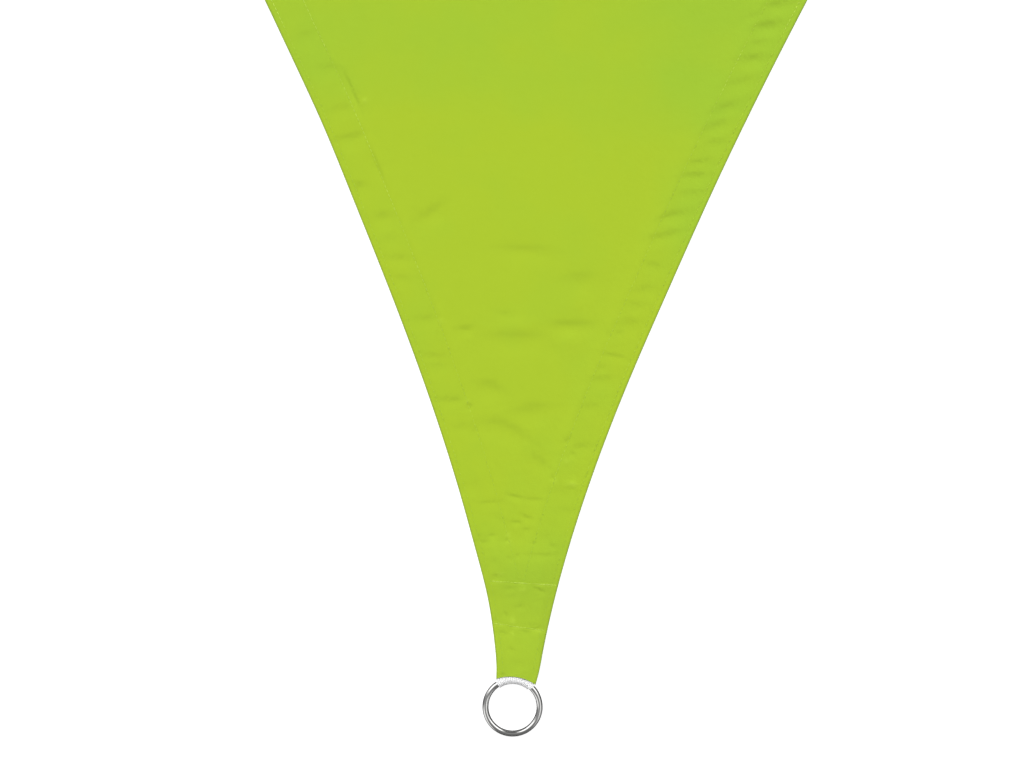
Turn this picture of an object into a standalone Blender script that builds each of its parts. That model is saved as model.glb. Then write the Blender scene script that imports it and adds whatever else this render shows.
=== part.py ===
"""A triangular shade sail laid flat on the ground, face up, with a steel ring at each corner.

Metres, +Z up. The origin is the middle of the sail's underside, on the ground. The three corners are
alike: each is the same shape turned by 120 degrees about Z, and the first points along -Y.

A corner has a frame of its own. Its origin is where the two sides' chords meet, v runs from there to
the middle of the sail, and u runs to the right of v. Each side of the sail has a chord frame: t runs
along the straight line between two corners, and h is how far the cloth's edge lies inside that line.
"""

import math

import bmesh
import bpy
from mathutils import Matrix, Vector
from mathutils.geometry import delaunay_2d_cdt

CORNERS = 3
TURN = 2 * math.pi / CORNERS
HALF_ANGLE = math.pi / 6  # between a corner's bisector and the chord of a side

# Plan of the cloth
SIDE = 3.0  # from corner to corner
EDGE_HOLLOW = 0.086  # depth of the long shallow curve in each side
NECK_DEPTH = 0.059  # how much further in the cloth is drawn to leave a slim corner
NECK_LENGTH = 0.171  # over which that happens
TIP_SPREAD = 0.014  # half width of the corner outside the chords
TIP_FLARE = 0.0025  # the tip flares by this much on its left side
FLARE_LENGTH = 0.010
TIP_START = 0.030  # where the cloth's edge starts, along a chord

# Cloth
SHEET = 0.0010  # one layer
HEM_WIDTH = 0.028  # turned under along every side
HEM_FALL = 0.006  # over which the hem's second layer runs out
EDGE_ROUND = 0.0005
CLEARANCE = 0.0003  # between pieces

# Ring of round wire
RING_RADIUS = 0.0225  # to the middle of the wire
WIRE_RADIUS = 0.0025
RING_OFFSET = -0.0039  # the ring has slid this far along u in its loop
RING_SEGMENTS = 36
WIRE_SEGMENTS = 8

# Webbing strap, folded round the wire, with both ends inside the corner of the cloth
STRAP_WIDTH = 0.031
STRAP_THICK = 0.0013
STRAP_MIDDLE = -0.001  # along u, where it is straight
STRAP_TURN = math.radians(9.5)  # from v to the middle of the band, round the ring
STRAP_END = 0.110  # along v
STRAP_STRAIGHT = 0.040  # along v, past which its edges run straight
BAND_RADIUS = 0.025  # within which it follows the wire round the ring's centre
SETTLE = 0.0195  # past the wire, over which its two layers come together
STRAP_COLUMNS = 6
STRAP_STATIONS = (STRAP_END, 0.044, 0.038, 0.034, 0.030, 0.0265)  # from the ring, where it is bent
WRAP_STEPS = 8
WRAP_INNER = WIRE_RADIUS + 0.0004
WRAP_OUTER = WRAP_INNER + STRAP_THICK

# Mouth and pocket of the cloth's corner
MOUTH_RADIUS = 0.0256  # the face layer ends on an arc round the ring's centre
MOUTH_STEPS = 7
TURNED_UNDER = 0.041  # along v, where the layer under the strap ends
POCKET_MARGIN = 0.0004
FLAP_CLEARANCE = 0.00035
CUT_HALF = 0.030  # the mouth is cut out past both sides of the cloth
CUT_COLUMNS = 10
CUT_STEP = 0.0002
CUT_STATIONS = (0.002, 0.014, 0.020, 0.023, 0.026, 0.029, 0.032, 0.035, 0.038)
RAISED_MARGIN = 0.0016  # the cloth stays high this far outside the strap
RAISED_FALL = 0.012
RAISED_HALF = STRAP_WIDTH / 2 + RAISED_MARGIN
RAISED_END = STRAP_END + RAISED_MARGIN
FLAP_STATIONS = (0.024, 0.0275, 0.031, 0.0345, 0.038, 0.0425)  # where the cloth bends down from the ring
POCKET_STATIONS = (0.058, 0.074, 0.090, 0.102, RAISED_END)

LOWER_LAYER = SHEET + CLEARANCE  # underside of the strap's lower layer in the pocket
UPPER_LAYER = LOWER_LAYER + STRAP_THICK + CLEARANCE
BAND_HALF_ANGLE = STRAP_WIDTH / 2 / RING_RADIUS
FAR_BAND_ANGLE = STRAP_TURN + BAND_HALF_ANGLE
# The ring's far side touches the ground, and its near side lies on the strap's lower layer.
RING_TILT = math.asin((WRAP_OUTER - WIRE_RADIUS) / (RING_RADIUS * (1 + math.cos(FAR_BAND_ANGLE))))
RING_HEIGHT = WIRE_RADIUS + RING_RADIUS * math.sin(RING_TILT)

# Puckers: short soft ridges that run across the hem, where its thread has drawn the cloth up
PUCKER_NEAR = 0.030  # pitch near a corner
PUCKER_FAR = 0.064  # pitch in the middle of a side
PUCKER_SPREAD = 0.55  # how far along a side the near pitch reaches
PUCKER_HEIGHT = 0.0009
PUCKER_REACH = 0.046  # how far in from the edge they run out
# Each is sin(rate * t + phase), t metres along the side, and this share of what it makes uneven
UNEVEN_PLACE = (9.1, 0.0, 0.22)  # of a pucker's pitch
UNEVEN_LEAN = (5.3, 0.0, 0.30)  # of a pitch, from the edge to the inner row of thread
UNEVEN_SIZE = ((23.7, 1.1, 0.38), (7.9, 0.4, 1.0))  # multiplied
STEPS_A_PUCKER = 3
STATION_STEP = 0.0002

# Main creases of each corner, as soft ridges. Rise is above the sheet.
CREASES = (
    # u, v, length, degrees from u, width, rise
    (-0.070, 0.412, 0.034, 34, 0.016, 0.0010),
    (0.012, 0.384, 0.066, -3, 0.018, 0.0007),
    (0.056, 0.358, 0.030, 2, 0.014, 0.0008),
    (0.044, 0.320, 0.034, 4, 0.016, 0.0009),
    (-0.046, 0.316, 0.020, 2, 0.012, 0.0008),
    (-0.002, 0.306, 0.062, -6, 0.018, 0.0011),
    (-0.026, 0.268, 0.024, -20, 0.014, 0.0008),
    (0.012, 0.250, 0.030, 14, 0.014, 0.0008),
    (0.000, 0.222, 0.044, -24, 0.014, 0.0012),
    (0.004, 0.178, 0.034, -8, 0.012, 0.0010),
    (0.040, 0.182, 0.020, 8, 0.012, 0.0009),
    (-0.024, 0.142, 0.018, -16, 0.010, 0.0009),
)
BROAD_WAVE = 0.0009  # height of the long, faint waves of the laid cloth
WAVES = ((2.9, 1.3, 0.0), (-1.9, 3.7, 0.6))  # radians a metre along X and Y, and phase
INNER_GRID = 0.16
INNER_GAP = 0.032  # from that grid to the hems and creases
RIM_GAP = 0.0012  # between the outline and the nearest points inside it
HEM_GAP = 0.005
HEM_SHARE = 0.93  # of its inset: a point of a hem row nearer than this to any side is left out

GREEN = (0.402, 0.591, 0.036, 1)
WHITE = (0.80, 0.80, 0.80, 1)
STEEL = (0.60, 0.60, 0.58, 1)


def smooth(x):
    """From 0 at x = 0 to 1 at x = 1, flat at both ends."""
    x = min(max(x, 0.0), 1.0)
    return x * x * (3 - 2 * x)


def mix(a, b, share):
    return a + (b - a) * share


# ---- the frames of a corner and of a side ----


def corner_matrix(k):
    """From the frame of corner k to the sail's."""
    return Matrix.Rotation(TURN * k, 4, "Z") @ Matrix.Translation((0, -SIDE / math.sqrt(3), 0))


def in_corner(k, x, y):
    """(u, v) of a point of the sail in the frame of corner k."""
    p = Matrix.Rotation(-TURN * k, 2) @ Vector((x, y))
    return p.x, p.y + SIDE / math.sqrt(3)


def along_side(k, t, h):
    """The point at chord position t and depth h of the side from corner k to the next."""
    c, s = math.cos(HALF_ANGLE), math.sin(HALF_ANGLE)
    return (corner_matrix(k) @ Vector((t * s - h * c, t * c + h * s, 0))).to_2d()


def edge_depth(t):
    """How far inside the chord the cloth's edge lies."""
    share, near, far = t / SIDE, min(t, SIDE - t), SIDE - t
    depth = 4 * EDGE_HOLLOW * share * (1 - share) - TIP_SPREAD
    depth += NECK_DEPTH * (1 - math.exp(-near / NECK_LENGTH))
    return depth - TIP_FLARE * math.exp(-max(far - TIP_START, 0) / FLARE_LENGTH)


def edge_slope(t):
    step = 1e-4
    return (edge_depth(t + step) - edge_depth(t - step)) / (2 * step)


def inside_side(k, x, y):
    """(t, distance from the edge) of a point, for one side."""
    u, v = in_corner(k, x, y)
    c, s = math.cos(HALF_ANGLE), math.sin(HALF_ANGLE)
    t, h = u * s + v * c, v * s - u * c
    return t, (h - edge_depth(t)) / math.hypot(1, edge_slope(t))


def edge_ends():
    """The chord positions where an edge meets the mouths of its two corners."""
    step, ends = 1e-5, []
    for corner, start, way in ((0, 0.0, 1), (1, SIDE, -1)):
        t = start + way * TIP_START / 2
        while mouth_distance(*in_corner(corner, *along_side(0, t, edge_depth(t)))) < MOUTH_RADIUS:
            t += way * step
        ends.append(t)
    return ends


# ---- heights in the frame of a corner ----


def mouth_distance(u, v):
    return math.hypot(u - RING_OFFSET, v)


def wire_height(v):
    """Of the middle of the ring's wire at v."""
    return RING_HEIGHT + v * math.sin(RING_TILT)


def strap_heights(u, v):
    """(underside of the strap, its top) at a place past the wire."""
    share = smooth((mouth_distance(u, v) - RING_RADIUS) / SETTLE)
    wire = wire_height(min(v, RING_RADIUS))
    return (
        mix(wire - WRAP_OUTER, LOWER_LAYER, share),
        mix(wire + WRAP_OUTER, UPPER_LAYER + STRAP_THICK, share),
    )


def pucker_phase(t):
    """Puckers counted along a side: they lie closer near a corner than in its middle."""
    near = min(t, SIDE - t)
    rate = 1 / PUCKER_FAR
    extra = (1 / PUCKER_NEAR - rate) * PUCKER_SPREAD * (1 - math.exp(-near / PUCKER_SPREAD))
    return near * rate + extra


def uneven(t, rate, phase, share):
    return share * math.sin(rate * t + phase)


def pucker(t, distance):
    """Height of the puckers of a hem, uneven in place and size."""
    phase = pucker_phase(t) + uneven(t, *UNEVEN_PLACE) + distance / HEM_WIDTH * uneven(t, *UNEVEN_LEAN)
    size = 1 - UNEVEN_SIZE[0][2] + math.prod(uneven(t, *row) for row in UNEVEN_SIZE)
    across = math.sin(math.pi * min(max(distance / PUCKER_REACH, 0), 1)) ** 0.7
    return PUCKER_HEIGHT * size * across * (0.5 + 0.5 * math.cos(2 * math.pi * phase))


def crease_height(u, v):
    height = 0.0
    for cu, cv, length, degrees, width, rise in CREASES:
        du, dv = u - cu, v - cv
        a = math.radians(degrees)
        along = abs(du * math.cos(a) + dv * math.sin(a)) / (length / 2 + width / 2)
        across = abs(dv * math.cos(a) - du * math.sin(a)) / (width / 2)
        if along < 1 and across < 1:
            height = max(height, rise * (1 - smooth(along)) * (1 - smooth(across)))
    return height


def raised(k, x, y, base):
    """The cloth's height over the strap of corner k, and from there down to the base height."""
    u, v = in_corner(k, x, y)
    beside = max(abs(u - STRAP_MIDDLE) - RAISED_HALF, 0)
    beyond = max(v - RAISED_END, 0)
    if math.hypot(beside, beyond) >= RAISED_FALL:
        return base
    top = strap_heights(u, v)[1] + FLAP_CLEARANCE + SHEET
    return mix(top, base, smooth(math.hypot(beside, beyond) / RAISED_FALL))


def cloth_height(x, y):
    """The face of the cloth above the ground."""
    sides = [inside_side(k, x, y) for k in range(CORNERS)]
    t, distance = min(sides, key=lambda side: side[1])
    height = SHEET + SHEET * (1 - smooth((distance - HEM_WIDTH) / HEM_FALL))
    height += pucker(t, distance)
    height += BROAD_WAVE * (1 + math.prod(math.sin(a * x + b * y + c) for a, b, c in WAVES)) / 2
    for k in range(CORNERS):
        u, v = in_corner(k, x, y)
        if v < SIDE / 4:
            height = raised(k, x, y, height + crease_height(u, v))
    return height


# ---- the cloth ----


def side_stations(start, end):
    """Chord positions along a side, a few to each pucker."""
    half = pucker_phase(SIDE / 2)
    count = round(2 * half * STEPS_A_PUCKER)
    stations, t = [start], start
    for i in range(1, count):
        wanted = 2 * half * i / count
        while (pucker_phase(t) if t < SIDE / 2 else 2 * half - pucker_phase(t)) < wanted:
            t += STATION_STEP
        if start + HEM_GAP < t < end - HEM_GAP:
            stations.append(t)
    return stations + [end]


def mouth_arc(k, start, end):
    """Points of the mouth of corner k between its two edges."""
    at, angles = corner_matrix(k), []
    for corner, t in ((1, end), (0, start)):
        u, v = in_corner(corner, *along_side(0, t, edge_depth(t)))
        angles.append(math.atan2(u - RING_OFFSET, v))
    points = []
    for i in range(1, MOUTH_STEPS):
        a = mix(*angles, i / MOUTH_STEPS)
        p = Vector((RING_OFFSET + MOUTH_RADIUS * math.sin(a), MOUTH_RADIUS * math.cos(a), 0))
        points.append((at @ p).to_2d())
    return points


def edge_distance(p):
    return min(inside_side(k, *p)[1] for k in range(CORNERS))


def clear_of_mouths(p, margin):
    return all(mouth_distance(*in_corner(k, *p)) > MOUTH_RADIUS + margin for k in range(CORNERS))


def over_strap(p):
    for k in range(CORNERS):
        u, v = in_corner(k, *p)
        if abs(u - STRAP_MIDDLE) <= RAISED_HALF and v <= RAISED_END:
            return True
    return False


def row_of_hem(k, stations, inset):
    """The points of one side that lie this far in from its edge, without those nearer to another."""
    points = []
    for t in stations:
        slope = edge_slope(t)
        size = math.hypot(1, slope)
        p = along_side(k, t - inset * slope / size, edge_depth(t) + inset / size)
        if edge_distance(p) > HEM_SHARE * inset and clear_of_mouths(p, inset / 2) and not over_strap(p):
            points.append(p)
    return points


def strap_lines(k):
    """Rows of points that carry the cloth over the strap of a corner: along it, then across its end."""
    columns = [STRAP_MIDDLE + share * RAISED_HALF for share in (-1, -0.5, 0, 0.5, 1)]
    lines = [[(u, v) for v in FLAP_STATIONS + POCKET_STATIONS] for u in columns]
    lines.append([(u, RAISED_END) for u in columns])
    for fall in (1 / 3, 2 / 3, 1):
        out = RAISED_FALL * fall
        lines.append([(u, RAISED_END + out) for u in columns])
        for way in (-1, 1):
            beside = STRAP_MIDDLE + way * (RAISED_HALF + out)
            lines.append([(beside, v) for v in POCKET_STATIONS])
    at = corner_matrix(k)
    return [[(at @ Vector((u, v, 0))).to_2d() for u, v in line] for line in lines]


def crease_points(k):
    """Along the middle and both sides of each crease of a corner."""
    at, points = corner_matrix(k), []
    for u, v, length, degrees, width, _ in CREASES:
        turned = Matrix.Translation((u, v, 0)) @ Matrix.Rotation(math.radians(degrees), 4, "Z")
        for i in range(-2, 3):
            for j in (-1, 0, 1):
                points.append((at @ turned @ Vector((i * length / 4, j * width / 2, 0))).to_2d())
    return points


def inner_points():
    """A plain grid over the middle of the cloth."""
    points, reach = [], int(SIDE / INNER_GRID)
    for i in range(-reach, reach + 1):
        for j in range(-reach, reach + 1):
            points.append(Vector(((i + 0.5 * (j % 2)) * INNER_GRID, j * INNER_GRID * math.sqrt(0.75))))
    return [p for p in points if edge_distance(p) > INNER_GRID / 2]


def spread_out(points, kept, apart):
    """The points that lie at least this far from those kept so far and from each other."""
    cells, result = {}, []

    def near(p):
        ci, cj = int(p.x // apart), int(p.y // apart)
        return any(
            (p - q).length < apart
            for i in (ci - 1, ci, ci + 1)
            for j in (cj - 1, cj, cj + 1)
            for q in cells.get((i, j), ())
        )

    for p in kept:
        cells.setdefault((int(p.x // apart), int(p.y // apart)), []).append(p)
    for p in points:
        if not near(p):
            cells.setdefault((int(p.x // apart), int(p.y // apart)), []).append(p)
            result.append(p)
    return result


def cloth_plan():
    """The cloth's outline, the points inside it, and the pairs of them that have an edge between them."""
    start, end = edge_ends()
    stations = side_stations(start, end)
    outline, points, edges = [], [], []
    for k in range(CORNERS):
        outline += [along_side(k, t, edge_depth(t)) for t in stations]
        outline += mouth_arc((k + 1) % CORNERS, start, end)
    for k in range(CORNERS):
        for line in strap_lines(k):
            kept = [p for p in line if edge_distance(p) > RIM_GAP and clear_of_mouths(p, RIM_GAP)]
            first = len(outline) + len(points)
            points += kept
            edges += [(first + i, first + i + 1) for i in range(len(kept) - 1)]
    hems = [
        p
        for k in range(CORNERS)
        for inset in (HEM_WIDTH / 2, HEM_WIDTH, HEM_WIDTH + HEM_FALL)
        for p in row_of_hem(k, stations, inset)
    ]
    creases = [p for k in range(CORNERS) for p in crease_points(k)]
    points += spread_out(creases, outline + points, HEM_GAP)
    points += spread_out(hems, outline + points, HEM_GAP)
    points += spread_out(inner_points(), points, INNER_GAP)
    rim = len(outline)
    edges += [(i, (i + 1) % rim) for i in range(rim)]
    return outline, points, edges


def cloth(material):
    """The cloth as one closed body: a flat underside, an upright edge and the uneven face."""
    outline, points, edges = cloth_plan()
    rim = len(outline)
    loop = [(i, (i + 1) % rim) for i in range(rim)]
    plan, _, faces, *_ = delaunay_2d_cdt(outline + points, edges, [list(range(rim))], 1, 1e-7)
    mesh = bmesh.new()
    face_points = [mesh.verts.new((p.x, p.y, cloth_height(p.x, p.y))) for p in plan]
    for face in faces:
        mesh.faces.new([face_points[i] for i in face])
    # The rim of the face sinks a little, which rounds the folded edge.
    below = []
    for i in range(rim):
        p = plan[i]
        face_points[i].co.z -= EDGE_ROUND
        below.append(mesh.verts.new((p.x, p.y, 0)))
    for i, j in loop:
        mesh.faces.new((face_points[i], below[i], below[j], face_points[j]))
    mesh.faces.new(below[::-1])
    return keep("sail_cloth", mesh, material)


# ---- the strap and the pocket it lies in ----


def strap_place(s, distance):
    """(u, v) of the strap's point s across it, at a distance from the ring's centre."""
    angle = s / RING_RADIUS + STRAP_TURN
    near = min(distance, BAND_RADIUS)
    u, v = RING_OFFSET + near * math.sin(angle), near * math.cos(angle)
    if distance > BAND_RADIUS:
        share = min((distance - BAND_RADIUS) / (STRAP_STRAIGHT - BAND_RADIUS), 1)
        u, v = mix(u, STRAP_MIDDLE + s, share), mix(v, max(distance, STRAP_STRAIGHT), share)
    return u, v


def strap_section(s):
    """(outer, inner) outlines of the strap at s: along its lower layer, round the wire and back."""
    outer, inner = [], []
    for distance in STRAP_STATIONS:
        u, v = strap_place(s, distance)
        low = strap_heights(u, v)[0]
        outer.append((u, v, low))
        inner.append((u, v, low + STRAP_THICK))
    wire = wire_height(strap_place(s, RING_RADIUS)[1])
    for i in range(WRAP_STEPS + 1):
        angle = math.pi * i / WRAP_STEPS
        for radius, line in ((WRAP_OUTER, outer), (WRAP_INNER, inner)):
            u, v = strap_place(s, RING_RADIUS - radius * math.sin(angle))
            line.append((u, v, wire - radius * math.cos(angle)))
    for distance in STRAP_STATIONS[::-1]:
        u, v = strap_place(s, distance)
        high = strap_heights(u, v)[1]
        outer.append((u, v, high))
        inner.append((u, v, high - STRAP_THICK))
    return outer, inner


def bridge(mesh, loops):
    """Skins a row of equal loops, each there along one line and back along another, and caps both ends."""
    count = len(loops[0])
    for a, b in zip(loops, loops[1:]):
        for i in range(count):
            j = (i + 1) % count
            mesh.faces.new((a[i], a[j], b[j], b[i]))
    for loop in (loops[0], loops[-1]):
        for i in range(count // 2 - 1):
            mesh.faces.new((loop[i], loop[i + 1], loop[count - 2 - i], loop[count - 1 - i]))
    bmesh.ops.recalc_face_normals(mesh, faces=mesh.faces)


def strap(k, material):
    mesh, loops = bmesh.new(), []
    for j in range(STRAP_COLUMNS + 1):
        outer, inner = strap_section(STRAP_WIDTH * (j / STRAP_COLUMNS - 0.5))
        loops.append([mesh.verts.new(p) for p in outer + inner[::-1]])
    bridge(mesh, loops)
    mesh.transform(corner_matrix(k))
    return keep(f"strap_{k + 1}", mesh, material)


def pocket_cutter(k):
    """What is taken out of a corner of the cloth: the open mouth, and the pocket behind it."""
    narrow = STRAP_WIDTH / 2 + POCKET_MARGIN
    settled = RING_RADIUS + SETTLE + CUT_STEP
    stations = [(v, CUT_HALF, -SHEET) for v in CUT_STATIONS + (TURNED_UNDER,)]
    stations += [(v, narrow, SHEET) for v in (TURNED_UNDER + CUT_STEP, settled, STRAP_END + POCKET_MARGIN)]
    mesh, loops = bmesh.new(), []
    for v, half, floor in stations:
        across = [STRAP_MIDDLE + half * (2 * j / CUT_COLUMNS - 1) for j in range(CUT_COLUMNS + 1)]
        top = [(u, v, strap_heights(u, v)[1] + FLAP_CLEARANCE) for u in across]
        bottom = [(u, v, floor) for u in across]
        loops.append([mesh.verts.new(p) for p in top + bottom[::-1]])
    bridge(mesh, loops)
    mesh.transform(corner_matrix(k))
    cutter = keep(f"pocket_cutter_{k + 1}", mesh, None)
    cutter.hide_render = True
    cutter.display_type = "WIRE"
    return cutter


def ring(k, material):
    mesh = bmesh.new()
    section = []
    for i in range(WIRE_SEGMENTS):
        a = 2 * math.pi * i / WIRE_SEGMENTS
        out, up = RING_RADIUS + WIRE_RADIUS * math.cos(a), WIRE_RADIUS * math.sin(a)
        section.append(mesh.verts.new((0, out, up)))
    edges = [mesh.edges.new((section[i], section[(i + 1) % WIRE_SEGMENTS])) for i in range(WIRE_SEGMENTS)]
    bmesh.ops.spin(
        mesh, geom=section + edges, axis=(0, 0, 1), cent=(0, 0, 0),
        steps=RING_SEGMENTS, angle=2 * math.pi, use_merge=True, use_duplicate=False,
    )
    bmesh.ops.recalc_face_normals(mesh, faces=mesh.faces)
    made = keep(f"ring_{k + 1}", mesh, material)
    seat = Matrix.Translation((RING_OFFSET, 0, RING_HEIGHT)) @ Matrix.Rotation(RING_TILT, 4, "X")
    made.matrix_world = corner_matrix(k) @ seat
    return made


# ---- objects ----


def keep(name, mesh, material):
    data = bpy.data.meshes.new(name)
    mesh.to_mesh(data)
    mesh.free()
    data.shade_smooth()
    data.set_sharp_from_angle(angle=math.radians(35))
    if material:
        data.materials.append(material)
    made = bpy.data.objects.new(name, data)
    bpy.context.scene.collection.objects.link(made)
    return made


def finish(name, colour, roughness, metallic):
    material = bpy.data.materials.new(name)
    material.use_nodes = True
    shader = material.node_tree.nodes["Principled BSDF"]
    shader.inputs["Base Color"].default_value = colour
    shader.inputs["Roughness"].default_value = roughness
    shader.inputs["Metallic"].default_value = metallic
    material.diffuse_color = colour
    return material


def main():
    for old in list(bpy.data.objects):
        bpy.data.objects.remove(old)
    fabric = finish("coated_polyester", GREEN, 0.6, 0)
    webbing = finish("white_webbing", WHITE, 0.8, 0)
    steel = finish("polished_steel", STEEL, 0.15, 1)
    sail = cloth(fabric)
    for k in range(CORNERS):
        cut = sail.modifiers.new(f"pocket_{k + 1}", "BOOLEAN")
        cut.operation = "DIFFERENCE"
        cut.object = pocket_cutter(k)
        strap(k, webbing)
        ring(k, steel)


main()
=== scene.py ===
"""Looks of the shade sail: a fine creased sheet, its thread, ribbed webbing and polished rings.

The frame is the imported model's: metres, +Z up, the sail laid face up on the ground round the origin.
A corner has a frame of its own, as in the part: its origin is where the two sides' chords meet, v runs
from there to the middle of the sail, and u runs to the right of v. Along a side, t is measured on the
straight line between two corners. d is how far a place lies in from the nearest edge of the cloth.
"""

import math

import bpy
import numpy as np
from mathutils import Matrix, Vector
from mathutils.geometry import delaunay_2d_cdt


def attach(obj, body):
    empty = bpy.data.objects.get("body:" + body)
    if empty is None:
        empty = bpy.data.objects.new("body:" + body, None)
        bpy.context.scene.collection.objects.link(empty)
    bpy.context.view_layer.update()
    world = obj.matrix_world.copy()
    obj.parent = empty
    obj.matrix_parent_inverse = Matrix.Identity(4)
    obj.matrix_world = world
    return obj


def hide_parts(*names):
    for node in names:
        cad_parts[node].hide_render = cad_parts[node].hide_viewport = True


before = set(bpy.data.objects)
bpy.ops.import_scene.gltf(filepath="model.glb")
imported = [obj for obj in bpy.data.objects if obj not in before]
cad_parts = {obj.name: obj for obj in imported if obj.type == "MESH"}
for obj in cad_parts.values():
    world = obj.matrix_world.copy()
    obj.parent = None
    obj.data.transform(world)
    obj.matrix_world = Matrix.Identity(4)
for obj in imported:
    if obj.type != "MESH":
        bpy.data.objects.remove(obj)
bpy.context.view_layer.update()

MM = 0.001
CORNERS = 3
TURN = 2 * math.pi / CORNERS
HALF_COS, HALF_SIN = math.cos(math.pi / 6), math.sin(math.pi / 6)  # of half a corner's angle

# The part's plan, in metres
SIDE = 3.0
CENTRE = SIDE / math.sqrt(3)
EDGE_HOLLOW = 0.086
NECK_DEPTH = 0.059
NECK_LENGTH = 0.171
TIP_SPREAD = 0.014
TIP_FLARE = 0.0025
FLARE_LENGTH = 0.010
TIP_START = 0.030
RING_RADIUS = 0.0225
WIRE_RADIUS = 0.0025
RING_OFFSET = -0.0039
MOUTH_RADIUS = 0.0252
MOUTH_FLARE = 0.0016  # the mouth's two ends lie this much further out
MOUTH_HALF_ANGLE = 0.64
TURNED_UNDER = 0.041
STRAP_WIDTH = 0.031
STRAP_THICK = 0.0013
STRAP_MIDDLE = -0.001
STRAP_TURN = math.radians(9.5)
STRAP_END = 0.110
STRAP_STRAIGHT = 0.040
BAND_RADIUS = 0.025
SOLID_WRAP = 0.0017  # the part's webbing rises this much over the wire, which tilts the ring
BAND_HALF_ANGLE = STRAP_WIDTH / 2 / RING_RADIUS
RING_TILT = math.asin(SOLID_WRAP / (RING_RADIUS * (1 + math.cos(STRAP_TURN + BAND_HALF_ANGLE))))
WRAP_CLEARANCE, WRAP_THICK = 0.0002, 0.0010
WRAP_INNER = WIRE_RADIUS + WRAP_CLEARANCE
WRAP_OUTER = WRAP_INNER + WRAP_THICK
RING_HEIGHT = WIRE_RADIUS + RING_RADIUS * math.sin(RING_TILT)

# Slack of the edges near a corner: (place along the side, half width, outward) on each side of it
RIGHT_SLACK = ((0.018, 0.012, -0.0020), (0.10, 0.90, 0.0012), (0.36, 0.085, 0.0010), (0.70, 0.12, 0.0016))
LEFT_SLACK = ((0.09, 0.035, -0.0015), (0.50, 0.055, -0.0011), (0.68, 0.09, 0.0018))

# The cloth
LAYER = 0.00045  # one layer of the fabric
HEM_THICK = 0.0012  # the turned-under hem and the panel over it
HEM_OVERLAP = 0.0006  # the underside of the hem ends this far past HEM_WIDTH
BACK_RELIEF, FLAP_RELIEF = 0.5, 0.4  # share of the face's relief that shows on the underside
EDGE_ROUND = 0.0009  # the folded edge is round within this distance of the outline
EDGE_SHADE = 0.0019  # and its painted shade reaches in this far
MOUTH_ROUND = 0.0003  # and the mouth at the ring within this
FACE_IN = 0.0015  # height of the panel's face inside the hems
HEM_RISE = 0.0005  # the hem lifts the face by this much
HEM_WIDTH = 0.030
HEM_FALL = 0.012
LOWEST = 0.00003  # no part of the cloth lies lower
OUTER_ROW = 0.0052  # rows of thread, in from the edge
INNER_ROW = 0.0288
ROW_GROOVE = 0.00014
ROW_HALF = 0.0013
OUTER_GROOVE = 0.6  # depth of the outer row's groove, as a share of the inner one's
TIP_GROOVE = 0.35  # share of a hem row's groove that is left at the corners
GROOVE_START = 0.10  # along the side, where it begins to deepen
GROOVE_FADE = 0.12
CROSS_WIDTH, CROSS_DEPTH = 1.6, 1.3  # the grooves across a corner, as shares of the inner row's
BROAD_WAVE = 0.0009
WAVES = ((2.9, 1.3, 0.0), (-1.9, 3.7, 0.6))

# Webbing inside the corner of the cloth
SETTLE = 0.085  # past the wire, over which the two layers of webbing come together
LOWER_LAYER = 0.0004
LAYER_GAP = 0.00005
UPPER_LAYER = LOWER_LAYER + STRAP_THICK + LAYER_GAP
COVER_GAP = 0.00008
FLAP_PRESSED = 0.6  # share of the flap's thickness that is left at the mouth
FLAP_SWELL = 0.020  # past the mouth, over which it comes to its full thickness
FLAP_STEP = 0.001  # past its end, over which the underside drops from it
COVER_THINS = 0.036  # past its end, over which the cover thins to the panel alone
RAISED_HALF = STRAP_WIDTH / 2 + 0.001
RAISED_SIDE_FALL = 0.018
RAISED_END_FALL = 0.034

# The two rows of thread across each corner: (u, v) of the left end and of the right end, in millimetres
CROSS_ROWS = (((-23.8, 103.8), (34.2, 101.4)), ((-21.0, 69.0), (28.5, 63.0)))
# and the painted sheen of their thread, evenly spaced from left to right
CROSS_TIGHT_SHEEN = (
    (1.0, 1.0, 0.9, 0.35, 0.3, 0.7, 1.0, 1.0, 0.8, 0.1, 0.2, 0.9, 0.9, 0.8, 0.9, 0.9, 1.0),
    (0.8, 0.7, 0.6, 0.3, 0.4, 0.4, 0.8, 0.6, 0.4, 0.5, 0.6, 0.5, 0.6, 0.6, 0.4, 0.7, 0.4),
)

UPPER_SEAM = CROSS_ROWS[0][1][1] * MM  # the hems' inner rows end at this v

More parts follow.
